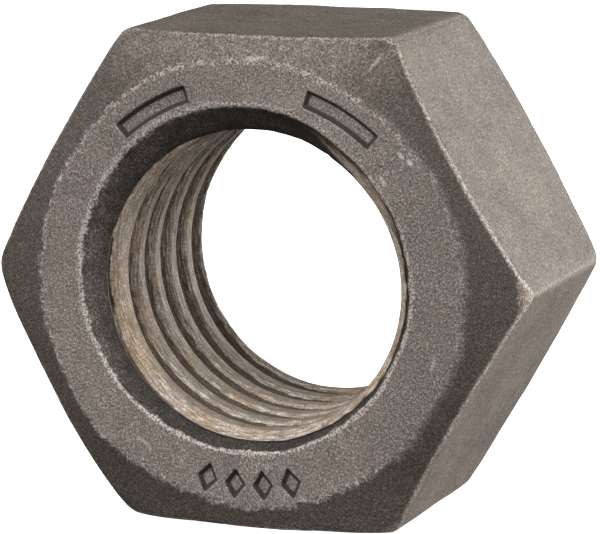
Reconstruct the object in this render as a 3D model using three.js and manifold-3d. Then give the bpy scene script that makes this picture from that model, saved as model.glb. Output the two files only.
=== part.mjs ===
// Hex nut, 1 inch - 8 UNC, right-hand thread, plain hot-forged steel.
// Millimetres, +Z up. The thread axis lies along Y, the marked face looks along -Y, and the nut
// stands on one of its six flats. The origin is the middle of the threaded bore.
// Angles round the thread axis are measured from +X towards +Z.

import * as THREE from "three";
import { mergeVertices } from "three/addons/utils/BufferGeometryUtils.js";
import Module from "manifold-3d";

// Driving dimensions: the hexagon
const acrossFlats = 36.9;
const thickness = 21.2;
const longEdgeRadius = 1.15; // rounding of the six edges that run along the axis

// Driving dimensions: the two faces. Each is flat out to bearingRadius, then falls away as a cone,
// and the tips of the hexagon are cut back by a steeper cone.
const bearingRadius = 16.6;
const tipRadius = 20.65;
const markedFace = { chamferDegrees: 26, tipDegrees: 58 };
const plainFace = { chamferDegrees: 19, tipDegrees: 48 };

// Driving dimensions: the thread, 8 turns to the inch, 60 degree form
const pitch = 25.4 / 8;
const majorRadius = 12.75;
const minorRadius = 11.3;
const rootFlat = pitch / 8;
const halfThreadAngle = THREE.MathUtils.degToRad(30);
const crestDepthAtMinusX = 4.1; // first whole crest below the marked face, on the -X side

// Driving dimensions: the countersinks at both ends of the bore
const countersinkRadius = 13.05;
const countersinkDegrees = 45; // half angle, from the thread axis

// Driving dimensions: recessed marks on the marked face
const markDepth = 0.4;
const gradeArc = { innerRadius: 14.15, outerRadius: 15.35, halfDegrees: 11.5, atDegrees: [60, 120] };
const lozenge = { radius: 15.0, width: 1.5, height: 2.2, count: 4, stepDegrees: 8.5, middleDegrees: 270 };

// Fineness of the round shapes
const circleSteps = 96;
const threadSteps = 48;
const edgeSteps = 4;
const clearOfFace = 1; // how far a cutter stands out of the face that it enters
const spareTurns = 3; // turns of the thread cutter in front of the marked face

const wasm = await Module();
wasm.setup();

// A three.js geometry as a manifold-3d solid.
function solidFrom(geometry) {
  const bare = geometry.clone();
  bare.deleteAttribute("normal");
  bare.deleteAttribute("uv");
  const merged = mergeVertices(bare);
  return new wasm.Manifold(
    new wasm.Mesh({
      numProp: 3,
      vertProperties: merged.getAttribute("position").array,
      triVerts: new Uint32Array(merged.index.array),
    }),
  );
}

// A manifold-3d solid as a three.js geometry with flat-shaded faces.
function geometryFrom(solid) {
  const mesh = solid.getMesh();
  const geometry = new THREE.BufferGeometry();
  geometry.setAttribute("position", new THREE.BufferAttribute(mesh.vertProperties, 3));
  geometry.setIndex(new THREE.BufferAttribute(mesh.triVerts, 1));
  const flat = geometry.toNonIndexed();
  flat.computeVertexNormals();
  return flat;
}

// A flat outline in X and Z, made solid from yLow to yHigh.
function prism(shape, yLow, yHigh) {
  const settings = { depth: yHigh - yLow, bevelEnabled: false, curveSegments: edgeSteps, steps: 1 };
  const geometry = new THREE.ExtrudeGeometry(shape, settings);
  geometry.rotateX(Math.PI / 2);
  geometry.translate(0, yHigh, 0);
  return solidFrom(geometry);
}

// A profile of [radius, y] points, from low y to high y, turned round the thread axis.
function turned(profile) {
  const points = profile.map(([radius, y]) => new THREE.Vector2(radius, y));
  return solidFrom(new THREE.LatheGeometry(points, circleSteps));
}

// The hexagon with a flat underneath and rounded corners.
function hexagonShape() {
  const shape = new THREE.Shape();
  const flatAngle = Math.PI / 6;
  const centreRadius = (acrossFlats / 2 - longEdgeRadius) / Math.cos(flatAngle);
  for (let corner = 0; corner < 6; corner += 1) {
    const angle = (corner * Math.PI) / 3;
    const x = centreRadius * Math.cos(angle);
    const z = centreRadius * Math.sin(angle);
    shape.absarc(x, z, longEdgeRadius, angle - flatAngle, angle + flatAngle, false);
  }
  return shape;
}

// How far each cone of a face has fallen, as [radius, fall] points from the axis outwards.
function facePoints({ chamferDegrees, tipDegrees }) {
  const chamferSlope = Math.tan(THREE.MathUtils.degToRad(chamferDegrees));
  const tipSlope = Math.tan(THREE.MathUtils.degToRad(tipDegrees));
  const cornerRadius = acrossFlats / Math.sqrt(3);
  const outside = acrossFlats; // well past the corners
  const tipFall = (tipRadius - bearingRadius) * chamferSlope;
  const cornerFall = tipFall + (cornerRadius - tipRadius) * tipSlope;
  return [
    [0, 0],
    [bearingRadius, 0],
    [tipRadius, tipFall],
    [cornerRadius, cornerFall],
    [outside, cornerFall],
  ];
}

// The turned blank that rounds both faces of the hexagon.
function faceEnvelope() {
  const marked = facePoints(markedFace).map(([radius, fall]) => [radius, -thickness / 2 + fall]);
  const plain = facePoints(plainFace).map(([radius, fall]) => [radius, thickness / 2 - fall]);
  return turned([...marked, ...plain.reverse()]);
}

// One groove of the internal thread: [place along the axis, radius], from a crest to the next.
function threadProfile() {
  const flank = (majorRadius - minorRadius) * Math.tan(halfThreadAngle);
  const crestFlat = pitch - rootFlat - 2 * flank;
  return [
    [crestFlat / 2, minorRadius],
    [crestFlat / 2 + flank, majorRadius],
    [pitch - crestFlat / 2 - flank, majorRadius],
    [pitch - crestFlat / 2, minorRadius],
  ];
}

// A screw that fills the bore and stands out of both faces. Its surface is a grid: each row follows
// one line of the profile once round the axis, so a row ends where the row one groove lower begins.
function threadCutter() {
  const profile = threadProfile();
  const perTurn = profile.length;
  const turns = Math.ceil(thickness / pitch) + spareTurns + 1;
  const rows = turns * perTurn;
  const start = -thickness / 2 + crestDepthAtMinusX + pitch / 2 - spareTurns * pitch;
  const positions = [];
  const indices = [];
  const ids = new Map();

  function addVertex(x, y, z) {
    positions.push(x, y, z);
    return positions.length / 3 - 1;
  }

  function vertex(column, row) {
    if (column === threadSteps && row >= perTurn) return vertex(0, row - perTurn);
    const key = `${column},${row}`;
    if (!ids.has(key)) {
      const [place, radius] = profile[row % perTurn];
      const angle = (2 * Math.PI * column) / threadSteps;
      const groove = Math.floor(row / perTurn);
      const y = start + (groove - column / threadSteps) * pitch + place;
      ids.set(key, addVertex(radius * Math.cos(angle), y, radius * Math.sin(angle)));
    }
    return ids.get(key);
  }

  for (let column = 0; column < threadSteps; column += 1) {
    for (let row = 0; row < rows; row += 1) {
      const [a, b] = [vertex(column, row), vertex(column + 1, row)];
      const [c, d] = [vertex(column + 1, row + 1), vertex(column, row + 1)];
      indices.push(a, c, b, a, d, c);
    }
  }

  const lowEnd = addVertex(0, start - pitch / 2, 0);
  const highEnd = addVertex(0, start + (turns - 0.5) * pitch, 0);
  for (let column = 0; column < threadSteps; column += 1) {
    indices.push(lowEnd, vertex(column, 0), vertex(column + 1, 0));
    indices.push(highEnd, vertex(column + 1, rows), vertex(column, rows));
  }
  for (let row = 0; row < perTurn; row += 1) {
    indices.push(lowEnd, vertex(threadSteps, row), vertex(threadSteps, row + 1));
    indices.push(highEnd, vertex(0, rows - perTurn + row + 1), vertex(0, rows - perTurn + row));
  }

  const geometry = new THREE.BufferGeometry();
  geometry.setAttribute("position", new THREE.Float32BufferAttribute(positions, 3));
  geometry.setIndex(indices);
  return solidFrom(geometry);
}

// The cone that opens the bore at the marked end (side -1) or the plain end (side 1).
function countersink(side) {
  const slope = Math.tan(THREE.MathUtils.degToRad(countersinkDegrees));
  const mouthRadius = countersinkRadius + clearOfFace * slope;
  const mouth = thickness / 2 + clearOfFace;
  const apex = mouth - mouthRadius / slope;
  const profile = [[0, apex], [mouthRadius, mouth], [0, mouth]];
  return turned(side > 0 ? profile : profile.map(([radius, y]) => [radius, -y]).reverse());
}

// A bar bent round the thread axis.
function gradeArcShape(middleDegrees) {
  const from = THREE.MathUtils.degToRad(middleDegrees - gradeArc.halfDegrees);
  const to = THREE.MathUtils.degToRad(middleDegrees + gradeArc.halfDegrees);
  const shape = new THREE.Shape();
  shape.absarc(0, 0, gradeArc.outerRadius, from, to, false);
  shape.absarc(0, 0, gradeArc.innerRadius, to, from, true);
  return shape;
}

// A lozenge that points at the thread axis.
function lozengeShape(degrees) {
  const angle = THREE.MathUtils.degToRad(degrees);
  const outwards = new THREE.Vector2(Math.cos(angle), Math.sin(angle));
  const sideways = new THREE.Vector2(-outwards.y, outwards.x);
  const middle = outwards.clone().multiplyScalar(lozenge.radius);
  const reach = outwards.clone().multiplyScalar(lozenge.height / 2);
  const spread = sideways.clone().multiplyScalar(lozenge.width / 2);
  const corners = [
    middle.clone().add(reach),
    middle.clone().add(spread),
    middle.clone().sub(reach),
    middle.clone().sub(spread),
  ];
  return new THREE.Shape(corners);
}

// Every recess of the marked face, as outlines.
function markShapes() {
  const shapes = gradeArc.atDegrees.map(gradeArcShape);
  for (let i = 0; i < lozenge.count; i += 1) {
    const fromMiddle = (i - (lozenge.count - 1) / 2) * lozenge.stepDegrees;
    shapes.push(lozengeShape(lozenge.middleDegrees + fromMiddle));
  }
  return shapes;
}

function hexNut() {
  const face = -thickness / 2;
  let nut = prism(hexagonShape(), face - clearOfFace, -face + clearOfFace).intersect(faceEnvelope());
  nut = nut.subtract(threadCutter());
  nut = nut.subtract(countersink(-1)).subtract(countersink(1));
  for (const shape of markShapes()) {
    nut = nut.subtract(prism(shape, face - clearOfFace, face + markDepth));
  }
  const steel = new THREE.MeshStandardMaterial({ color: 0x6b635c, metalness: 0.7, roughness: 0.62 });
  const mesh = new THREE.Mesh(geometryFrom(nut), steel);
  mesh.name = "hex_nut";
  return mesh;
}

const part = new THREE.Group();
part.add(hexNut());

export default part;
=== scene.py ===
"""The looks of a 1 inch - 8 UNC hot-forged hex nut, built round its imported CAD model.

One closed mesh stands for the one piece of steel. It is a grid of columns (angles round the thread
axis) and rows that run from the countersink over the marked face, the chamfer and the flats to the
plain face, and back through the bore along the thread's own helix. Lengths are in millimetres until
the mesh is written; angles run from +X towards +Z, as seen from the marked face. A side is -1 for
the marked face, which looks along -Y, and 1 for the plain face.
"""

import math
from types import SimpleNamespace

import bmesh
import bpy
import numpy as np
from mathutils import Matrix, Vector


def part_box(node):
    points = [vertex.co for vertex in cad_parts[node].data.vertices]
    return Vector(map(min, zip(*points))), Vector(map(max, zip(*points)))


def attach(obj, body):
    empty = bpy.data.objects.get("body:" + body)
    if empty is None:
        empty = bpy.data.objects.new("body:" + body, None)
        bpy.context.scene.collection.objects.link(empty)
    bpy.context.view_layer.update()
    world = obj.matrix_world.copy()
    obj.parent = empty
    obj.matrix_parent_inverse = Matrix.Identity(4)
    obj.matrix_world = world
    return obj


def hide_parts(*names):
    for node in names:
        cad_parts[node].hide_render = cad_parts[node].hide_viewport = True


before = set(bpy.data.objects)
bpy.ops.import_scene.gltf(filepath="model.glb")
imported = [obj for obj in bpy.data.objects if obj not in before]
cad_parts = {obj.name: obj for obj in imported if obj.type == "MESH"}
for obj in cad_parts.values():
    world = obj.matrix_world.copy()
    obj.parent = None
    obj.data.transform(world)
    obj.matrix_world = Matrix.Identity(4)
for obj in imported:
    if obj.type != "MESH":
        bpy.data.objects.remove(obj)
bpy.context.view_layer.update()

# ---------------------------------------------------------------- sizes, in millimetres
MM = 0.001
LOW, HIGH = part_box("hex_nut")
ACROSS_FLATS = (HIGH.z - LOW.z) / MM
THICKNESS = (HIGH.y - LOW.y) / MM
HALF = THICKNESS / 2
SKIN = 0.03  # the rough skin lies this far inside the nominal faces, so its waves never pass them

# The hexagon and its faces
HALF_SIDE = math.pi / 6  # half the angle that one flat takes up
LONG_EDGE_RADIUS = 1.15
BEARING_RADIUS = 16.6
BEARING_SOFTNESS = 0.22
TIP_RADIUS = 20.65
TIP_SOFTNESS = 0.5
FACES = {
    -1: {"chamfer": math.radians(26), "tip": math.radians(58), "off_axis": (-0.30, 0.42), "mouth": 13.0},
    1: {"chamfer": math.radians(19), "tip": math.radians(48), "off_axis": (0.22, -0.15), "mouth": 13.1},
}
FULL_CORNER = math.radians(60)  # the plain face's tip cut is shallower at this corner
FULL_CORNER_GAIN, FULL_CORNER_WIDTH = 0.35, math.radians(14)
EDGE_ROUNDING = 0.28
RIM_ROUNDING = 0.16
RIM_REACH = 1.4  # the rim's rounding runs this many times as far along the face as down the bore

# The countersinks
CONE_SLOPE = math.tan(math.radians(45))
CONE_SOFTNESS = 0.08
CONE_FADE = 0.3  # the countersink's own waves fade in over this distance from the thread
SMALLEST_CONE = 1.0  # squared radius that a cone keeps where it has closed up inside the bore
SHALLOW_AT, SHALLOW_BY, SHALLOW_WIDTH = math.radians(47), 0.30, math.radians(21)  # marked side only

# The thread
PITCH = 25.4 / 8
MAJOR_RADIUS = 12.75
MINOR_RADIUS = 11.3
ROOT_FLAT = PITCH / 8
FLANK = (MAJOR_RADIUS - MINOR_RADIUS) * math.tan(math.radians(30))
HALF_CREST = (PITCH - ROOT_FLAT - 2 * FLANK) / 2
THREAD_ROUNDING = 0.13
CREST_DEPTH_AT_MINUS_X = 4.1
FIRST_CREST = -HALF + CREST_DEPTH_AT_MINUS_X  # y of the first whole crest, on the -X side

# The marks
MARK_DEPTH = 0.38
MARK_WALL = 0.24  # how wide a mark's sloping wall is
ARC_INNER, ARC_OUTER, ARC_HALF = 14.15, 15.35, math.radians(11.5)
ARC_AT = (math.radians(60), math.radians(120))
LOZENGE_RADIUS, LOZENGE_WIDTH, LOZENGE_HEIGHT = 15.0, 1.5, 2.2
LOZENGE_COUNT, LOZENGE_STEP, LOZENGE_MIDDLE = 4, math.radians(8.5), math.radians(270)

# Waves of the forging and of the tap, each as size, wavelength and seed
MOUTH_WAVES = ((0.04, 6, 40), (0.02, 1.2, 50))
BEARING_WAVES = ((0.10, 9, 60), (0.03, 2.5, 70))
EDGE_WAVES = ((0.25, 6, 80),)  # a share of the edge's rounding
SKIN_WAVES = ((0.012, 5.0, 5), (0.007, 1.6, 6), (0.004, 0.7, 7))
CHATTER_WAVES = ((0.006, 1.2, 8),)
CONE_WAVES = ((0.02, 1.4, 9),)
CHATTER_STRETCH = (1, 3, 1)  # chatter is this much finer along the axis

# Fineness of the mesh
COLUMNS = 372
FACE_ROWS = {-1: 36, 1: 8}
CHAMFER_ROWS, FILLET_ROWS, HALF_FLAT_ROWS, RIM_ROWS = 9, 5, 9, 4
ROUNDING_STEPS = (0.0, 0.33, 0.67, 1.0)  # along each rounded corner of the thread
STRAIGHT_STEPS = ((0.25, 0.5, 0.75), (0.5,), (0.25, 0.5, 0.75), (0.33, 0.67))  # flank, root, flank, crest
SPARE_TURNS = 3  # turns of the helix beyond the nut's own, so that both rims cut it all the way round
SNAP = 0.02  # a row of the thread that comes this near to a face's rim becomes part of it

# ---------------------------------------------------------------- wear, in millimetres
RUSTY_SPOT = (-10.6, -7.0, -5.2)  # middle of a golden stain on the first turn of the thread
SCUFFS = (  # bruises of the marked face: x, z, half length, half width, direction in degrees, strength
    (12.0, 10.2, 0.38, 0.19, -40, 1.0),
    (12.7, 9.7, 0.34, 0.19, -45, 1.0),
    (10.6, 8.3, 0.45, 0.24, -60, 0.7),
    (9.6, 16.7, 0.75, 0.16, 58, 0.4),
    (0.8, 16.8, 0.90, 0.22, 5, 0.7),
    (-8.4, -12.2, 0.70, 0.14, -35, 0.6),
    (14.4, -4.9, 0.70, 0.14, 75, 0.7),
)
FAR_AWAY = 9.0  # the distance given to vertices that a line of wear doesn't concern

# ---------------------------------------------------------------- stage, in metres and watts
BACKDROP_RADIUS = 1.6
LIGHT_DISTANCE, LIGHT_SIZE = 0.8, 0.45
LIGHTS = (  # name, azimuth and elevation in degrees, watts; azimuth 90 is on the marked face's right
    ("right", 88, 7, 7.2),
    ("front_right", 42, 6, 2.0),
    ("above_front", -15, 45, 6.2),
    ("left", -65, 20, 2.2),
    ("behind_right", 135, 8, 3.4),
    ("behind", 180, 0, 1.4),
    ("low_front", 5, -25, 0.5),
)
WORLD_ABOVE, WORLD_BELOW = 0.04, 0.10  # strength of the world's light
WHITE = (1.0, 1.0, 1.0, 1.0)
PAPER_WHITE = (0.9, 0.9, 0.9, 1.0)

# ---------------------------------------------------------------- camera; lengths in millimetres
CAMERA_AZIMUTH = math.radians(20.55)
CAMERA_ELEVATION = math.radians(10.09)
CAMERA_ROLL = math.radians(-0.42)
CAMERA_DISTANCE = 317.0
CAMERA_LENS = 251.4
CAMERA_SENSOR = 36.0
CAMERA_ASIDE = 0.23
CAMERA_RAISED = -0.35
CAMERA_CLIP_END = 20.0  # in metres


# ---------------------------------------------------------------- shape
def soft_ramp(x, softness):
    """0 for negative x and x for positive x, with a rounded corner."""
    return 0.5 * (x + np.sqrt(x * x + softness * softness))


def turn_from(middle, angles):
    """How far each angle is from the middle one, between minus and plus half a turn."""
    return (angles - middle + math.pi) % (2 * math.pi) - math.pi


def hump(middle, width, angles):
    """1 at the middle angle, falling to 0 on both sides."""
    return np.exp(-((turn_from(middle, angles) / width) ** 2))


def sine_noise(points, wavelength, seed, count=28):
    """Smooth noise of unit spread at points (n, 3): sines of about one wavelength, in random directions."""
    rng = np.random.default_rng(seed)
    direction = rng.normal(size=(count, 3))
    direction /= np.linalg.norm(direction, axis=1, keepdims=True)
    size = 2 * math.pi / (wavelength * rng.uniform(0.75, 1.35, (count, 1)))
    phase = rng.uniform(0, 2 * math.pi, count)
    return np.sin(points @ (direction * size).T + phase).sum(axis=1) / math.sqrt(count / 2)


def wave_sum(points, waves):
    return sum(size * sine_noise(points, wavelength, seed) for size, wavelength, seed in waves)


def ring_waves(side, angles, waves):
    """The same noise along a circle, different for each side."""
    ring = np.stack([BEARING_RADIUS * np.cos(angles), 0 * angles, BEARING_RADIUS * np.sin(angles)], axis=1)
    return wave_sum(ring, [(size, wavelength, seed + side) for size, wavelength, seed in waves])


def column_angles():
    """Angles of the columns, closer together at the corners and where the marks have their edges."""
    fine = np.linspace(0, 2 * math.pi, 20001)
    density = np.ones_like(fine)

    def crowd(middle, half_width, factor):
        density[np.abs(turn_from(middle, fine)) < half_width] = factor

    for corner in range(6):
        crowd(2 * HALF_SIDE * corner, math.radians(2.2), 3.0)
    for arc in ARC_AT:
        for end in (-1, 1):
            crowd(arc + end * ARC_HALF, math.radians(1.3), 3.2)
    crowd(LOZENGE_MIDDLE, LOZENGE_STEP * LOZENGE_COUNT / 2, 2.4)
    total = np.concatenate([[0], np.cumsum((density[1:] + density[:-1]) / 2)])
    return np.interp(np.arange(COLUMNS) / COLUMNS, total / total[-1], fine)


def turn_from_flat(angles):
    """Angle between each direction and the middle of its flat."""
    return (angles - math.pi / 2 + HALF_SIDE) % (2 * HALF_SIDE) - HALF_SIDE


def hexagon_radius(angles):
    """Distance from the axis to the hexagon with rounded corners."""
    apothem = ACROSS_FLATS / 2 - SKIN
    from_flat = turn_from_flat(angles)
    straight = apothem / np.cos(from_flat)
    centre = (apothem - LONG_EDGE_RADIUS) / math.cos(HALF_SIDE)
    from_corner = HALF_SIDE - np.abs(from_flat)
    inside = np.maximum(LONG_EDGE_RADIUS**2 - (centre * np.sin(from_corner)) ** 2, 0)
    rounded = centre * np.cos(from_corner) + np.sqrt(inside)
    tangent = math.atan(centre * math.sin(HALF_SIDE) / apothem)
    return np.where(np.abs(from_flat) > tangent, rounded, straight)


def from_long_edge(angles):
    """Distance along a flat to its nearest long edge."""
    return ACROSS_FLATS / 2 * (math.tan(HALF_SIDE) - np.abs(np.tan(turn_from_flat(angles))))


def bearing_circle(side, angles):
    """Radius at which the flat part of a face ends; it wanders a little."""
    return BEARING_RADIUS + ring_waves(side, angles, BEARING_WAVES)


def face_fall(side, angles, radius, bearing):
    """How far the face has fallen below its highest plane at each angle and radius."""
    spec = FACES[side]
    fall = math.tan(spec["chamfer"]) * soft_ramp(radius - bearing, BEARING_SOFTNESS)
    steeper = math.tan(spec["tip"]) - math.tan(spec["chamfer"])
    gain = FULL_CORNER_GAIN * hump(FULL_CORNER, FULL_CORNER_WIDTH, angles) if side > 0 else 0
    return SKIN + fall + steeper * soft_ramp(radius - TIP_RADIUS - gain, TIP_SOFTNESS)


def cone_radius(side, angles, y):
    """Distance from the thread axis to the countersink, which sits slightly off the axis."""
    spec = FACES[side]
    mouth = spec["mouth"] + ring_waves(side, angles, MOUTH_WAVES)
    if side < 0:
        mouth = mouth - SHALLOW_BY * hump(SHALLOW_AT, SHALLOW_WIDTH, angles)
    size = mouth - (HALF - side * y) * CONE_SLOPE
    off_x, off_z = spec["off_axis"]
    along = off_x * np.cos(angles) + off_z * np.sin(angles)
    return along + np.sqrt(np.maximum(size**2 - off_x**2 - off_z**2 + along**2, SMALLEST_CONE))


def curve_point(start, corner, end, t):
    """A point of the curve from start to end that is drawn towards corner."""
    return (1 - t) ** 2 * start + 2 * t * (1 - t) * corner + t * t * end


def thread_profile():
    """One groove from crest to crest, as (place along the axis, radius), with its corners rounded."""
    corners = [
        (HALF_CREST, MINOR_RADIUS),
        (HALF_CREST + FLANK, MAJOR_RADIUS),
        (PITCH - HALF_CREST - FLANK, MAJOR_RADIUS),
        (PITCH - HALF_CREST, MINOR_RADIUS),
    ]
    count = len(corners)
    points = []
    for i, straight_steps in enumerate(STRAIGHT_STEPS):
        here = np.array(corners[i])
        before = np.array(corners[i - 1]) - ((PITCH, 0) if i == 0 else (0, 0))
        after = np.array(corners[(i + 1) % count]) + ((PITCH, 0) if i == count - 1 else (0, 0))
        start = here + (before - here) / np.linalg.norm(before - here) * THREAD_ROUNDING
        end = here + (after - here) / np.linalg.norm(after - here) * THREAD_ROUNDING
        points += [curve_point(start, here, end, t) for t in ROUNDING_STEPS]
        points += [end + (after - end) * t for t in straight_steps]
    return np.array(points)


PROFILE = thread_profile()


def thread_turns(angles, y):
    """How many turns of the thread each point lies beyond the middle of the first crest."""
    return (y - FIRST_CREST) / PITCH + (angles - math.pi) / (2 * math.pi)


def thread_place(angles, y):
    """How far each point lies beyond the middle of the last crest, along the axis."""
    return thread_turns(angles, y) % 1 * PITCH


def thread_radius(angles, y):
    """Radius of the thread at each angle and y."""
    x = np.concatenate([PROFILE[:, 0] - PITCH, PROFILE[:, 0], PROFILE[:, 0] + PITCH])
    return np.interp(thread_place(angles, y), x, np.tile(PROFILE[:, 1], 3))


def bore_radius(angles, y):
    """Radius of the bore's wall: the thread, opened by both countersinks."""
    radius = thread_radius(angles, y)
    for side in (-1, 1):
        cone = cone_radius(side, angles, y)
        radius = cone + soft_ramp(radius - cone, CONE_SOFTNESS)
    return radius


def outside_marks(x, z):
    """Distance from each point of the marked face to the outline of the nearest mark, negative inside."""
    radius, angle = np.hypot(x, z), np.arctan2(z, x)
    outside = np.full_like(radius, 1.0)
    for middle in ARC_AT:
        along = (np.abs(turn_from(middle, angle)) - ARC_HALF) * radius
        across = np.abs(radius - (ARC_INNER + ARC_OUTER) / 2) - (ARC_OUTER - ARC_INNER) / 2
        outside = np.minimum(outside, np.maximum(along, across))
    slant = 1 / math.hypot(2 / LOZENGE_WIDTH, 2 / LOZENGE_HEIGHT)
    for i in range(LOZENGE_COUNT):
        middle = LOZENGE_MIDDLE + (i - (LOZENGE_COUNT - 1) / 2) * LOZENGE_STEP
        sideways = np.abs(turn_from(middle, angle) * radius) / (LOZENGE_WIDTH / 2)
        outwards = np.abs(radius - LOZENGE_RADIUS) / (LOZENGE_HEIGHT / 2)
        outside = np.minimum(outside, (sideways + outwards - 1) * slant)
    return outside


def bend(start, corner, end, steps):
    """Points of a curve from start to end that is drawn towards corner; the last one is left out."""
    for t in np.arange(steps) / steps:
        yield tuple(curve_point(a, b, c, t) for a, b, c in zip(start, corner, end))


def side_rows(side, angles):
    """Rows of one face, from the countersink to the middle of the flats, as (radius, y, zone)."""
    outline = hexagon_radius(angles)
    bearing = bearing_circle(side, angles)
    top = side * (HALF - SKIN) + 0 * angles

    def on_face(radius):
        return radius, side * (HALF - face_fall(side, angles, radius, bearing))

    rim_y = side * (HALF - SKIN - RIM_ROUNDING) + 0 * angles
    rim_start = (bore_radius(angles, rim_y), rim_y)
    rim_corner = (cone_radius(side, angles, top), top)
    face_start = (rim_corner[0] + RIM_ROUNDING * RIM_REACH, top)
    for row, point in enumerate(bend(rim_start, rim_corner, face_start, RIM_ROWS)):
        yield point + ("bore" if row == 0 else "face",)
    for t in np.arange(FACE_ROWS[side]) / FACE_ROWS[side]:
        yield on_face(face_start[0] + (bearing - face_start[0]) * t) + ("face",)
    rounding = EDGE_ROUNDING * (1 + ring_waves(side, angles, EDGE_WAVES))
    chamfer_end = outline - rounding
    for t in np.arange(CHAMFER_ROWS) / CHAMFER_ROWS:
        yield on_face(bearing + (chamfer_end - bearing) * t) + ("chamfer",)
    corner = on_face(outline)
    flat_start = (outline, corner[1] - side * rounding)
    for point in bend(on_face(chamfer_end), corner, flat_start, FILLET_ROWS):
        yield point + ("edge",)
    for t in np.arange(HALF_FLAT_ROWS) / HALF_FLAT_ROWS:
        eased = t * t * (3 - 2 * t) * 0.5 + t * 0.5
        yield outline, flat_start[1] * (1 - eased), "flat"


def grid_quads(ids):
    """Quads between the neighbouring rows and columns of a grid of vertex numbers."""
    return np.stack([ids[:-1, :-1], ids[:-1, 1:], ids[1:, 1:], ids[1:, :-1]], axis=2).reshape(-1, 4)


def outside_grid(angles):
    """The outside, from the marked countersink to the plain one: the place and zone of each vertex,
    vertex numbers as a closed grid, and the y of each row."""
    front = list(side_rows(-1, angles))
    back = list(side_rows(1, angles))[::-1]
    rows = front + [(front[-1][0], 0 * angles, "flat")] + back
    radius = np.array([row[0] for row in rows])
    y = np.array([row[1] for row in rows])
    place = np.stack([radius * np.cos(angles), y, radius * np.sin(angles)], axis=2).reshape(-1, 3)
    zone = np.repeat([row[2] for row in rows], COLUMNS)
    ids = np.arange(len(place)).reshape(len(rows), COLUMNS)
    return place, zone, np.concatenate([ids, ids[:, :1]], axis=1), y


def build_grid():
    """Vertices (n, 3), triangles (m, 3) and the zone of each vertex."""
    angles = column_angles()
    place, zone, outside, y = outside_grid(angles)

    # Each row of the bore follows one line of the profile once round the axis, so a row ends where the
    # row one groove lower begins. Rows that pass a rim of the bore lie on it.
    per_turn = len(PROFILE)
    turns = math.ceil(THICKNESS / PITCH) + SPARE_TURNS
    start = FIRST_CREST - PITCH / 2 - math.floor(CREST_DEPTH_AT_MINUS_X / PITCH) * PITCH
    base = np.concatenate([PROFILE[:, 0] + start + PITCH * turn for turn in range(-1, turns)])
    all_angles = np.append(angles, 2 * math.pi)
    helix = base[:, None] + (0.5 - all_angles[None, :] / (2 * math.pi)) * PITCH + PITCH / 2
    ids = np.arange(helix.size).reshape(helix.shape) + len(place)
    ids[per_turn:, -1] = ids[:-per_turn, 0]
    below = helix < np.append(y[0], y[0][0]) + SNAP
    above = helix > np.append(y[-1], y[-1][0]) - SNAP
    ids = np.where(below, outside[0][None, :], np.where(above, outside[-1][None, :], ids))
    wall = bore_radius(np.broadcast_to(all_angles, helix.shape).ravel(), helix.ravel()).reshape(helix.shape)
    bore = np.stack([wall * np.cos(all_angles), helix, wall * np.sin(all_angles)], axis=2).reshape(-1, 3)

    place = np.concatenate([place, bore])
    zone = np.concatenate([zone, np.repeat("bore", len(bore))])
    quads = np.concatenate([grid_quads(outside), grid_quads(ids[::-1])])
    triangles = np.concatenate([quads[:, [0, 1, 2]], quads[:, [0, 2, 3]]])
    a, b, c = triangles.T
    triangles = triangles[(a != b) & (b != c) & (a != c)]
    used, triangles = np.unique(triangles, return_inverse=True)
    return place[used], triangles.reshape(-1, 3), zone[used]


def volume(place, triangles):
    a, b, c = (place[triangles[:, i]] for i in range(3))
    return float(np.einsum("ij,ij->i", a, np.cross(b, c)).sum() / 6)


def zone_values(place, zone):
    """Numbers that the material reads at each vertex. Distances are in millimetres."""
    x, y, z = place.T
    radius, angle = np.hypot(x, z), np.arctan2(z, x) % (2 * math.pi)
    outline = hexagon_radius(angle)
    on_face = np.isin(zone, ["face", "chamfer"])
    in_bore = zone == "bore"
    rim, bearing, edge = (np.full(len(place), FAR_AWAY) for _ in range(3))
    cone = np.full(len(place), 1.0)
    for side in (-1, 1):
        here = (y * side > 0) & on_face
        rim[here] = radius[here] - cone_radius(side, angle[here], side * (HALF - SKIN))
        bearing[here] = radius[here] - bearing_circle(side, angle[here])
        inside = (y * side > 0) & in_bore
        rim[inside] = side * y[inside] - (HALF - SKIN)
        cone[inside] = cone_radius(side, angle[inside], y[inside]) - thread_radius(angle[inside], y[inside])
        brink = HALF - face_fall(side, angle, outline, BEARING_RADIUS)
        outer = (y * side >= 0) & np.isin(zone, ["flat", "edge", "chamfer"])
        edge[outer] = np.hypot(outline - radius, brink - side * y)[outer]
    depth = (radius - MINOR_RADIUS) / (MAJOR_RADIUS - MINOR_RADIUS)
    from_crest = thread_place(angle, y)
    from_crest = np.where(from_crest > PITCH / 2, from_crest - PITCH, from_crest)
    return {
        "front": (on_face & (y < 0)).astype(float),
        "bore": in_bore.astype(float),
        "flat": (zone == "flat").astype(float),
        "mark": np.where((zone == "face") & (y < 0), outside_marks(x, z), 1.0),
        "rim": rim,
        "bearing": bearing,
        "edge": edge,
        "long_edge": np.where(np.isin(zone, ["flat", "edge"]), from_long_edge(angle), FAR_AWAY),
        "cone": np.clip(cone, -3, 3),
        "groove": np.where(in_bore, np.clip(depth, 0, 1), 0.0),
        "lip": np.minimum(np.abs(from_crest - HALF_CREST), 1.0),
        "turns": thread_turns(angle, y),
    }


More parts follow.
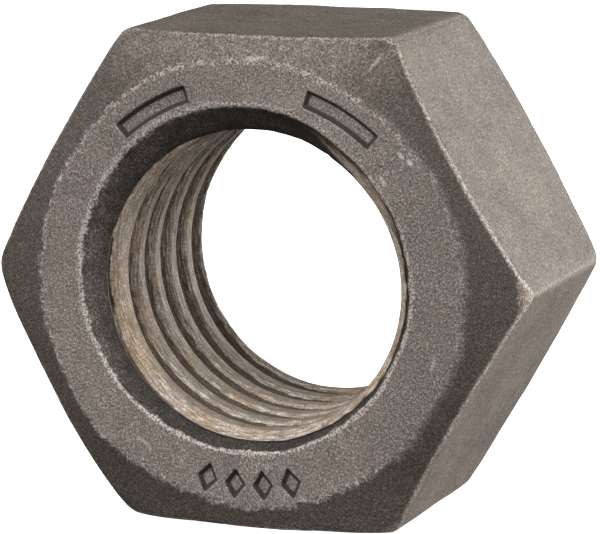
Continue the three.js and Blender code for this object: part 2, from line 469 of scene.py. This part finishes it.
def rough_skin(place, zone, values):
    """Presses the marks in, and gives every surface the slight waves of a forging or a tap."""
    x, _, z = place.T
    radius = np.hypot(x, z)
    outwards = np.stack([x / radius, 0 * x, z / radius], axis=1)
    wave = np.clip(wave_sum(place, SKIN_WAVES), -SKIN, SKIN)
    shaped = place.copy()
    facing = np.isin(zone, ["face", "chamfer"])
    pressed = np.clip(0.5 - values["mark"] / MARK_WALL, 0, 1)
    pressed = MARK_DEPTH * pressed * pressed * (3 - 2 * pressed)
    shaped[facing, 1] += wave[facing] + pressed[facing]
    on_flat = np.isin(zone, ["flat", "edge"])
    shaped[on_flat] += outwards[on_flat] * wave[on_flat][:, None]
    in_bore = zone == "bore"
    on_cone = np.clip(values["cone"] / CONE_FADE, 0, 1)
    chatter = wave_sum(place * CHATTER_STRETCH, CHATTER_WAVES) + on_cone * wave_sum(place, CONE_WAVES)
    shaped[in_bore] += outwards[in_bore] * chatter[in_bore][:, None]
    shaped[:, 1] = np.clip(shaped[:, 1], -HALF, HALF)
    return shaped


def nut_object():
    place, triangles, zone = build_grid()
    if volume(place, triangles) < 0:
        triangles = triangles[:, ::-1]
    values = zone_values(place, zone)
    place = rough_skin(place, zone, values)
    mesh = bpy.data.meshes.new("forged_nut")
    mesh.from_pydata((place * MM).tolist(), [], triangles.tolist())
    mesh.polygons.foreach_set("use_smooth", np.ones(len(mesh.polygons), bool))
    for name, numbers in values.items():
        layer = mesh.attributes.new(name, "FLOAT", "POINT")
        layer.data.foreach_set("value", numbers.astype(np.float32))
    mesh.update()
    mesh.validate()
    nut = bpy.data.objects.new("forged_nut", mesh)
    bpy.context.scene.collection.objects.link(nut)
    return nut


# ---------------------------------------------------------------- shader nodes
class Graph:
    """Short calls that add nodes to a material or world and return their output socket."""

    def __init__(self, owner):
        owner.use_nodes = True
        self.tree = owner.node_tree
        self.tree.nodes.clear()

    def node(self, kind, inputs=(), **settings):
        node = self.tree.nodes.new(kind)
        for name, value in settings.items():
            setattr(node, name, value)
        for name, value in dict(inputs).items():
            socket = node.inputs[name]
            if isinstance(value, bpy.types.NodeSocket):
                self.tree.links.new(value, socket)
            else:
                socket.default_value = value
        return node

    def attribute(self, name):
        return self.node("ShaderNodeAttribute", attribute_name=name).outputs["Fac"]

    def math(self, operation, a, b=0.0):
        return self.node("ShaderNodeMath", {0: a, 1: b}, operation=operation).outputs[0]

    def plus(self, a, b):
        return self.math("ADD", a, b)

    def minus(self, a, b):
        return self.math("SUBTRACT", a, b)

    def times(self, a, *others):
        for b in others:
            a = self.math("MULTIPLY", a, b)
        return a

    def over(self, a, b):
        return self.math("DIVIDE", a, b)

    def larger(self, a, b):
        return self.math("MAXIMUM", a, b)

    def size(self, a):
        return self.math("ABSOLUTE", a)

    def total(self, *shares):
        """Sum of (value, weight) pairs."""
        result = None
        for value, weight in shares:
            term = self.times(value, weight)
            result = term if result is None else self.plus(result, term)
        return result

    def stretch(self, vector, factors):
        return self.node("ShaderNodeVectorMath", {0: vector, 1: factors}, operation="MULTIPLY").outputs[0]

    def scale(self, vector, factor):
        inputs = {0: vector, "Scale": factor}
        return self.node("ShaderNodeVectorMath", inputs, operation="SCALE").outputs[0]

    def distance(self, vector, point):
        inputs = {0: vector, 1: point}
        return self.node("ShaderNodeVectorMath", inputs, operation="DISTANCE").outputs["Value"]

    def span(self, value, low, high, to_low=0.0, to_high=1.0, smooth=False):
        """Maps low to to_low and high to to_high, and holds those values outside."""
        kind = "SMOOTHSTEP" if smooth else "LINEAR"
        inputs = {"Value": value, "From Min": low, "From Max": high, "To Min": to_low, "To Max": to_high}
        return self.node("ShaderNodeMapRange", inputs, interpolation_type=kind).outputs["Result"]

    def sway(self, noise, amount):
        """A noise, which hardly leaves 0.3 to 0.7, as an offset of up to that amount either way."""
        return self.span(noise, 0.3, 0.7, -amount, amount)

    def mix(self, factor, a, b):
        """A colour between a and b."""
        return self.node("ShaderNodeMix", {0: factor, 6: a, 7: b}, data_type="RGBA").outputs[2]

    def blend(self, factor, a, b):
        """A number between a and b."""
        return self.node("ShaderNodeMix", {0: factor, 2: a, 3: b}, data_type="FLOAT").outputs[0]

    def noise(self, vector, scale, detail=2.0, roughness=0.5, w=None):
        inputs = {"Vector": vector, "Scale": scale, "Detail": detail, "Roughness": roughness}
        if w is None:
            return self.node("ShaderNodeTexNoise", inputs, noise_dimensions="3D").outputs["Fac"]
        inputs["W"] = w
        return self.node("ShaderNodeTexNoise", inputs, noise_dimensions="4D").outputs["Fac"]


def grey(value, red=1.2, blue=0.86):
    """A slightly warm grey of the given green value."""
    return (value * red, value, value * blue, 1.0)


# ---------------------------------------------------------------- the steel
SCALE_PLAIN = grey(0.060, 1.3, 0.78)
# Chamfer tones in painted light and shade: paler above (partly wear too), shaded on the right, lit below
SCALE_LIT_AND_WORN_ABOVE = grey(0.114, 1.25, 0.82)
SCALE_SHADED_RIGHT = grey(0.034, 1.35, 0.76)
SCALE_LIT_BELOW = grey(0.084, 1.25, 0.80)
TIP = grey(0.15, 1.25, 0.80)
FLAT_DARK = grey(0.112, 1.22, 0.80)
FLAT_PALE = grey(0.157, 1.22, 0.80)
FLAT_PIT = grey(0.04)
FLAT_DRAG = grey(0.20, 1.15, 0.88)
# Edge wear with a painted highlight
EDGE_WEAR_AND_HIGHLIGHT = grey(0.25, 1.2, 0.83)
FACE_DARK, FACE_PALE = grey(0.150), grey(0.185)
FACE_DULL = grey(0.115)
CONE_DARK = grey(0.027, 1.35, 0.74)
CONE_PALE = grey(0.092, 1.28, 0.78)
CONE_BELOW = grey(0.016, 1.35, 0.74)
# Painted shade deep in the countersink
CONE_SHADE_NEAR_THREAD = grey(0.010, 1.4, 0.7)
CREST_DARK = grey(0.122, 1.22, 0.80)
# Painted light on the crests of the bore's lower wall
CREST_LIT_BELOW = grey(0.22, 1.24, 0.78)
CREST_PALE = grey(0.38, 1.18, 0.84)
FIRST_DARK = grey(0.215, 1.25, 0.78)
FIRST_PALE = grey(0.39, 1.2, 0.82)
RUST_GOLD = (0.34, 0.235, 0.14, 1)
# Groove browns: grime and painted shade
BROWN_DARK = (0.064, 0.044, 0.030, 1)
BROWN_PALE = (0.155, 0.111, 0.078, 1)
# Painted shadow: the dark line behind each crest on the bore's lower wall
SHADOW_BROWN_BELOW = (0.066, 0.045, 0.031, 1)
# Painted shadow in the root of the first groove
GROOVE_SHADOW_BLACK = grey(0.010, 1.4, 0.7)
# Painted shadow along the crease of countersink and thread
SEAM_SHADOW_BLACK = grey(0.010)
# Painted highlight on the crests' back lips
LIP_HIGHLIGHT = grey(0.44, 1.12, 0.88)
WORN = grey(0.47, 1.1, 0.92)
# Painted shade with grime in the walls of the marks
MARK_SHADE_AND_GRIME = grey(0.012, 1.4, 0.72)


def survey(g):
    """Where a point lies on the nut, in millimetres, and the noises that the steel's layers share."""
    here = SimpleNamespace()
    here.spot = g.scale(g.node("ShaderNodeTexCoord").outputs["Object"], 1 / MM)
    here.x, here.y, here.z = g.node("ShaderNodeSeparateXYZ", {0: here.spot}).outputs
    here.radius = g.math("SQRT", g.plus(g.times(here.x, here.x), g.times(here.z, here.z)))
    here.bore, here.flat, here.front = g.attribute("bore"), g.attribute("flat"), g.attribute("front")
    here.rim, here.bearing, here.mark = g.attribute("rim"), g.attribute("bearing"), g.attribute("mark")
    here.edge, here.long_edge = g.attribute("edge"), g.attribute("long_edge")
    here.groove, here.lip, here.cone = g.attribute("groove"), g.attribute("lip"), g.attribute("cone")
    here.on_cone = g.span(here.cone, -0.04, 0.08)
    here.first = g.span(g.attribute("turns"), 0.15, 0.35, 1.0, 0.0)
    here.right_side = g.span(here.x, 6.0, 10.0)
    here.underneath = g.span(here.z, -9.6, -4.0, 1.0, 0.0, smooth=True)

    here.grain = g.noise(here.spot, 5.4, 2.0, 0.8)
    here.grit = g.noise(here.spot, 11.0, 1.0, 0.5)
    here.blotch = g.noise(here.spot, 0.8, 3.0, 0.55)
    here.cloud = g.noise(here.spot, 0.2, 2.0, 0.5)
    here.sand = g.total((here.grain, 0.55), (here.grit, 0.45))
    here.ragged = g.plus(here.bearing, g.sway(here.blotch, 0.22))

    # Two noises that are drawn out round the bore.
    turn_x, turn_z = g.over(here.x, here.radius), g.over(here.z, here.radius)
    around = g.node("ShaderNodeCombineXYZ", {0: turn_x, 1: g.times(here.y, 2.2), 2: turn_z}).outputs[0]
    here.lines = g.noise(around, 2.4, 4.0, 0.65, w=g.times(here.radius, 4.5))
    finer = g.stretch(around, (3.5, 1.2, 3.5))
    here.scratch = g.noise(finer, 3.2, 2.0, 0.6, w=g.times(here.radius, 2.6))
    return here


def chamfer_colour(g, here):
    """Forging scale, bare at the tips. It is paler towards the top as painted light from above, partly also
    wear, darker on the right as painted shade, and paler at the bottom as painted light.
    """
    upwards = g.minus(here.z, g.times(g.size(here.x), 0.36))
    # Painted light from above, with some wear: the chamfer pales towards the top
    lit_and_worn_above = g.span(g.plus(upwards, g.sway(here.blotch, 2.0)), 9.5, 16.0, smooth=True)
    colour = g.mix(lit_and_worn_above, SCALE_PLAIN, SCALE_LIT_AND_WORN_ABOVE)
    # Painted shade: the chamfer darkens on the right
    colour = g.mix(g.span(here.x, 7.0, 15.0, 0.0, 0.95), colour, SCALE_SHADED_RIGHT)
    # Painted light: the chamfer pales at the bottom
    colour = g.mix(g.span(here.z, -13.0, -17.5, 0.0, 0.9), colour, SCALE_LIT_BELOW)
    reach = g.plus(here.radius, g.span(here.x, 10.0, 18.0, 0.0, 0.28))
    reach = g.plus(reach, g.sway(here.blotch, 0.25))
    return g.mix(g.span(reach, TIP_RADIUS - 0.2, TIP_RADIUS + 0.15), colour, TIP)


def flat_colour(g, here):
    """Paler scale, mottled and pitted, with faint streaks along the axis."""
    mottle = g.total((here.cloud, 0.6), (here.blotch, 0.4))
    colour = g.mix(g.span(mottle, 0.38, 0.62), FLAT_DARK, FLAT_PALE)
    pit = g.span(g.noise(here.spot, 1.7, 1.0, 0.4), 0.70, 0.76)
    colour = g.mix(g.times(pit, 0.6), colour, FLAT_PIT)
    along = g.stretch(here.spot, (0.22, 3.0, 0.22))
    drag = g.span(g.noise(along, 1.6, 3.0, 0.6), 0.56, 0.72, 0.0, 0.45)
    return g.mix(drag, colour, FLAT_DRAG)


def outside_colour(g, here):
    """Chamfers and flats, their edges paled to soft tan lines that are partly wear and partly a painted
    highlight, and the face worn up to a ragged circle.
    """
    colour = g.mix(here.flat, chamfer_colour(g, here), flat_colour(g, here))
    # Painted highlight with wear: pale tan lines along the front edges on the right and along the long edges
    brink = g.times(g.span(here.edge, 0.05, 0.40, 0.85, 0.0, smooth=True), here.right_side)
    long_edge = g.span(here.long_edge, 0.0, 0.40, 0.6, 0.0, smooth=True)
    colour = g.mix(g.larger(brink, long_edge), colour, EDGE_WEAR_AND_HIGHLIGHT)

    softness = g.span(here.x, 6.0, 13.0, 1.0, 3.5)
    brow = g.span(g.over(here.ragged, softness), -0.12, 0.22, 1.0, 0.0, smooth=True)
    face = g.mix(g.span(here.blotch, 0.35, 0.65), FACE_DARK, FACE_PALE)
    face = g.mix(g.span(here.x, 4.0, 13.0, 0.0, 0.55), face, FACE_DULL)
    face = g.mix(g.span(g.minus(here.z, here.x), 9.0, 19.0, 0.0, 0.5), face, FACE_DULL)
    return g.mix(g.times(brow, g.minus(1.0, here.flat)), colour, face)


def cone_colour(g, here):
    """Countersink: dark scale, darkest below, and with painted shade that deepens where it meets the thread.
    """
    tone = g.total((here.lines, 0.4), (here.blotch, 0.6))
    colour = g.mix(g.span(tone, 0.38, 0.62), CONE_DARK, CONE_PALE)
    colour = g.mix(g.span(here.z, -6.0, -11.0, 0.0, 0.55), colour, CONE_BELOW)
    # Painted shade: darker towards the thread, deep in the countersink
    return g.mix(g.span(here.cone, 0.1, 2.0, 0.92, 0.0), colour, CONE_SHADE_NEAR_THREAD)


def crest_colour(g, here):
    """Grey and tan crests, paler on the bore's lower wall as painted light, a paler first turn that is
    cleaner and also painted as lit where no crest in front shades it, and golden stains.
    """
    streak = g.span(g.total((here.lines, 0.6), (here.scratch, 0.4)), 0.38, 0.62)
    # Painted light: crests paler on the lower wall of the bore
    colour = g.mix(streak, g.mix(here.underneath, CREST_DARK, CREST_LIT_BELOW), CREST_PALE)
    # First turn: cleaner, and painted as fully lit
    colour = g.mix(here.first, colour, g.mix(streak, FIRST_DARK, FIRST_PALE))
    near_rust = g.span(g.distance(here.spot, RUSTY_SPOT), 1.5, 4.5, 0.75, 0.0, smooth=True)
    rusty = g.times(near_rust, g.span(streak, 0.0, 1.0, 1.0, 0.6))
    stain = g.noise(here.spot, 0.35, 3.0, 0.6)
    golden = g.larger(g.times(g.span(stain, 0.50, 0.64), 0.6), rusty)
    return g.mix(golden, colour, RUST_GOLD)


def groove_grime_and_shade_mask(g, here):
    """1 in the brown of the grooves, which is partly grime and partly painted shade, growing deeper into the
    bore. On the side walls it is only their bottoms; below, a painted shadow runs close behind each crest as
    a dark line."""
    unevenness = g.blend(here.underneath, 0.14, 0.07)
    depth = g.plus(here.groove, g.times(g.sway(here.scratch, -0.5), unevenness))
    beside = g.span(here.y, -7.0, 8.0, 0.28, 0.02)
    dark_from = g.blend(here.underneath, g.blend(here.first, beside, 0.50), g.blend(here.first, 0.19, 0.60))
    return g.span(g.minus(depth, dark_from), 0.0, g.blend(here.underneath, 0.22, 0.06), smooth=True)


def painted_groove_shadow_mask(g, here):
    """1 where a painted shadow blackens the first turn's groove, at the left wall and at the upper right."""
    ragged = g.plus(here.groove, g.sway(here.blotch, 0.12))
    left = g.times(g.span(ragged, 0.54, 0.60), g.span(g.size(here.z), 2.5, 4.0, 1.0, 0.0))
    left = g.times(left, here.first, g.span(here.x, -6.0, -9.0))
    right = g.times(g.span(ragged, 0.30, 0.40), g.span(here.z, 3.5, 6.5, 1.0, 0.0))
    right = g.times(right, g.span(here.x, 4.0, 7.0), g.span(here.y, -8.2, -8.0, 1.0, 0.0))
    return g.larger(left, right)


def bore_colour(g, here):
    """The thread, with brown grooves of grime and painted shade, painted shadows in the first groove and
    along the seam, a painted highlight on the back lip of each crest, and the countersinks.
    """
    brown = g.mix(g.span(here.scratch, 0.35, 0.65), BROWN_DARK, BROWN_PALE)
    brown = g.mix(here.underneath, brown, SHADOW_BROWN_BELOW)
    # Brown grooves: grime and painted shade
    thread = g.mix(groove_grime_and_shade_mask(g, here), crest_colour(g, here), brown)
    # Painted shadow in the first groove
    thread = g.mix(painted_groove_shadow_mask(g, here), thread, GROOVE_SHADOW_BLACK)
    # Painted highlight: a pale line along the back lip of each crest
    lip_highlight = g.span(here.lip, 0.0, 0.14, 1.0, 0.0, smooth=True)
    thread = g.mix(g.times(lip_highlight, g.span(here.grain, 0.35, 0.6, 0.2, 0.9)), thread, LIP_HIGHLIGHT)
    colour = g.mix(here.on_cone, thread, cone_colour(g, here))
    # Painted shadow: a black seam where the countersink meets the thread
    seam_shadow = g.span(g.size(here.cone), 0.02, 0.12, 0.9, 0.0)
    return g.mix(seam_shadow, colour, SEAM_SHADOW_BLACK)


def with_grain(g, here, colour, machined, texture):
    """The colour with sandy grain over it, whose pale grains are also the greyer ones."""
    in_cone = g.times(here.bore, here.on_cone)
    strength = g.blend(in_cone, g.blend(machined, 6.0, 4.9), 9.0)
    strength = g.blend(here.flat, strength, 5.4)
    gain = g.math("EXPONENT", g.times(g.minus(texture, 0.51), strength))
    gain = g.math("MINIMUM", gain, 2.4)
    saturation = g.span(gain, 0.5, 1.8, 1.25, 0.5)
    inputs = {"Color": g.scale(colour, gain), "Saturation": saturation}
    return g.node("ShaderNodeHueSaturation", inputs).outputs[0]


def scuff_mask(g, here, scuff):
    """1 inside a short bruise of the marked face, fading to 0 at its outline; it stays off the flats."""
    middle_x, middle_z, half_length, half_width, degrees, strength = scuff
    cos, sin = math.cos(math.radians(degrees)), math.sin(math.radians(degrees))
    from_x, from_z = g.minus(here.x, middle_x), g.minus(here.z, middle_z)
    along = g.over(g.total((from_x, cos), (from_z, sin)), half_length)
    across = g.over(g.minus(g.times(from_z, cos), g.times(from_x, sin)), half_width)
    reach = g.plus(g.times(along, along), g.times(across, across))
    reach = g.plus(reach, g.span(here.grit, 0.35, 0.65, -0.6, 0.6))
    bruise = g.times(g.span(reach, 0.2, 1.0, strength, 0.0), here.front)
    return g.times(bruise, g.span(here.grain, 0.34, 0.50))


def worn_mask(g, here):
    """Loops along the bearing circle, flecks on the countersink's rim and the outer edges, and scuffs."""
    curls = g.size(g.minus(g.noise(here.spot, 1.9, 1.0, 0.5), 0.5))
    loops = g.span(curls, 0.0, 0.045, 1.0, 0.0)
    near_bearing = g.span(g.size(here.ragged), 0.06, 0.30, 1.0, 0.0, smooth=True)
    near_bearing = g.times(near_bearing, g.span(here.x, 9.0, 13.0, 1.0, 0.3))
    rub = g.times(near_bearing, g.times(loops, g.span(here.grain, 0.36, 0.46)))

    rim_width = g.span(here.blotch, 0.35, 0.65, 0.12, 0.34)
    rim_width = g.plus(rim_width, g.span(g.minus(here.z, here.x), 6.0, 16.0, 0.0, 0.12))
    from_rim = g.over(g.size(g.minus(here.rim, 0.08)), rim_width)
    near_rim = g.times(g.span(from_rim, 0.3, 1.0, 1.0, 0.0), g.span(here.z, -4.0, 8.0, 1.0, 0.6))
    near_edge = g.span(here.edge, 0.08, 0.30, 1.0, 0.0, smooth=True)
    near_edge = g.times(near_edge, g.span(here.blotch, 0.3, 0.6, 0.3, 0.9))
    near_edge = g.times(near_edge, g.blend(here.right_side, 1.0, 0.45))
    rub = g.larger(rub, g.times(g.larger(near_rim, near_edge), g.span(here.grain, 0.44, 0.56)))
    for scuff in SCUFFS:
        rub = g.larger(rub, scuff_mask(g, here, scuff))
    return rub


def forged_steel():
    """Dark forging scale, worn brighter on the raised faces and edges, with painted light and shade over it,
    and a tan machined thread.
    """
    material = bpy.data.materials.new("forged_steel")
    g = Graph(material)
    here = survey(g)
    machined = g.times(here.bore, g.minus(1.0, here.on_cone))
    drawn_out = g.total((here.scratch, 0.42), (here.sand, 0.58))
    texture = g.blend(machined, here.sand, drawn_out)

    colour = g.mix(here.bore, outside_colour(g, here), bore_colour(g, here))
    colour = with_grain(g, here, colour, machined, texture)
    colour = g.mix(worn_mask(g, here), colour, WORN)
    # Painted shade with grime: a dark outline in the walls of the stamped marks
    mark_wall = g.span(g.size(g.plus(here.mark, 0.08)), 0.09, 0.20, 1.0, 0.0, smooth=True)
    colour = g.mix(g.times(mark_wall, 0.93), colour, MARK_SHADE_AND_GRIME)

    relief = {"Height": g.plus(texture, here.blotch), "Strength": 0.7, "Distance": 0.12 * MM}
    inputs = {
        "Base Color": colour,
        "Roughness": g.span(here.sand, 0.3, 0.7, 0.68, 0.54),
        "Metallic": 0.3,
        "Normal": g.node("ShaderNodeBump", relief).outputs[0],
    }
    shader = g.node("ShaderNodeBsdfPrincipled", inputs)
    g.node("ShaderNodeOutputMaterial", {"Surface": shader.outputs[0]})
    return material


# ---------------------------------------------------------------- stage, light, camera
def paper_material():
    """White paper that glows a little, so that it stays pale away from the lamps."""
    material = bpy.data.materials.new("pale_paper")
    g = Graph(material)
    inputs = {
        "Base Color": PAPER_WHITE,
        "Roughness": 0.9,
        "Emission Color": PAPER_WHITE,
        "Emission Strength": 1.1,
    }
    shader = g.node("ShaderNodeBsdfPrincipled", inputs)
    g.node("ShaderNodeOutputMaterial", {"Surface": shader.outputs[0]})
    return material


def staged(name, mesh, paper):
    """A part of the stage: the camera sees it, but it neither lights the nut nor shades it."""
    piece = bpy.data.objects.new(name, mesh)
    piece.data.materials.append(paper)
    piece.visible_diffuse = False
    piece.visible_glossy = False
    piece.visible_shadow = False
    bpy.context.scene.collection.objects.link(piece)


def floor_object(paper):
    size, height = BACKDROP_RADIUS, LOW.z
    corners = [(-size, -size, height), (size, -size, height), (size, size, height), (-size, size, height)]
    mesh = bpy.data.meshes.new("floor")
    mesh.from_pydata(corners, [], [(0, 1, 2, 3)])
    staged("floor", mesh, paper)


def backdrop_object(paper):
    """A dome of the same paper, far behind everything, so that level views are pale too."""
    shell = bmesh.new()
    bmesh.ops.create_uvsphere(shell, u_segments=48, v_segments=24, radius=BACKDROP_RADIUS)
    mesh = bpy.data.meshes.new("backdrop")
    shell.to_mesh(mesh)
    shell.free()
    staged("backdrop", mesh, paper)


def area_light(name, azimuth, elevation, watts):
    """A square soft light that looks at the nut."""
    data = bpy.data.lights.new(name, "AREA")
    data.size = LIGHT_SIZE
    data.energy = watts
    light = bpy.data.objects.new(name, data)
    light.visible_camera = False
    across, up = math.radians(azimuth), math.radians(elevation)
    direction = Vector((math.sin(across) * math.cos(up), -math.cos(across) * math.cos(up), math.sin(up)))
    light.location = direction * LIGHT_DISTANCE
    light.rotation_euler = direction.to_track_quat("Z", "Y").to_euler()
    bpy.context.scene.collection.objects.link(light)


def studio_light():
    world = bpy.data.worlds.new("studio")
    g = Graph(world)
    direction = g.node("ShaderNodeTexCoord").outputs["Generated"]
    height = g.node("ShaderNodeSeparateXYZ", {0: direction}).outputs["Z"]
    strength = g.span(height, -0.25, 0.25, WORLD_BELOW, WORLD_ABOVE)
    background = g.node("ShaderNodeBackground", {"Color": WHITE, "Strength": strength})
    g.node("ShaderNodeOutputWorld", {"Surface": background.outputs[0]})
    bpy.context.scene.world = world
    for light in LIGHTS:
        area_light(*light)


def camera_object():
    sin_a, cos_a = math.sin(CAMERA_AZIMUTH), math.cos(CAMERA_AZIMUTH)
    sin_e, cos_e = math.sin(CAMERA_ELEVATION), math.cos(CAMERA_ELEVATION)
    backwards = Vector((sin_a * cos_e, -cos_a * cos_e, sin_e))
    level = Vector((cos_a, sin_a, 0))
    upright = backwards.cross(level)
    right = math.cos(CAMERA_ROLL) * level + math.sin(CAMERA_ROLL) * upright
    up = backwards.cross(right)
    data = bpy.data.cameras.new("camera")
    data.lens = CAMERA_LENS
    data.sensor_width = CAMERA_SENSOR
    data.clip_end = CAMERA_CLIP_END
    camera = bpy.data.objects.new("camera", data)
    place = (CAMERA_DISTANCE * backwards + CAMERA_ASIDE * right + CAMERA_RAISED * up) * MM
    turn = Matrix((right, up, backwards)).transposed().to_4x4()
    camera.matrix_world = Matrix.Translation(place) @ turn
    bpy.context.scene.collection.objects.link(camera)
    bpy.context.scene.camera = camera


# ---------------------------------------------------------------- the scene
camera_object()
studio_light()
paper = paper_material()
floor_object(paper)
backdrop_object(paper)
bpy.context.scene.view_settings.view_transform = "Standard"

nut = nut_object()
nut.data.materials.append(forged_steel())
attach(nut, "root")
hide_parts("hex_nut")
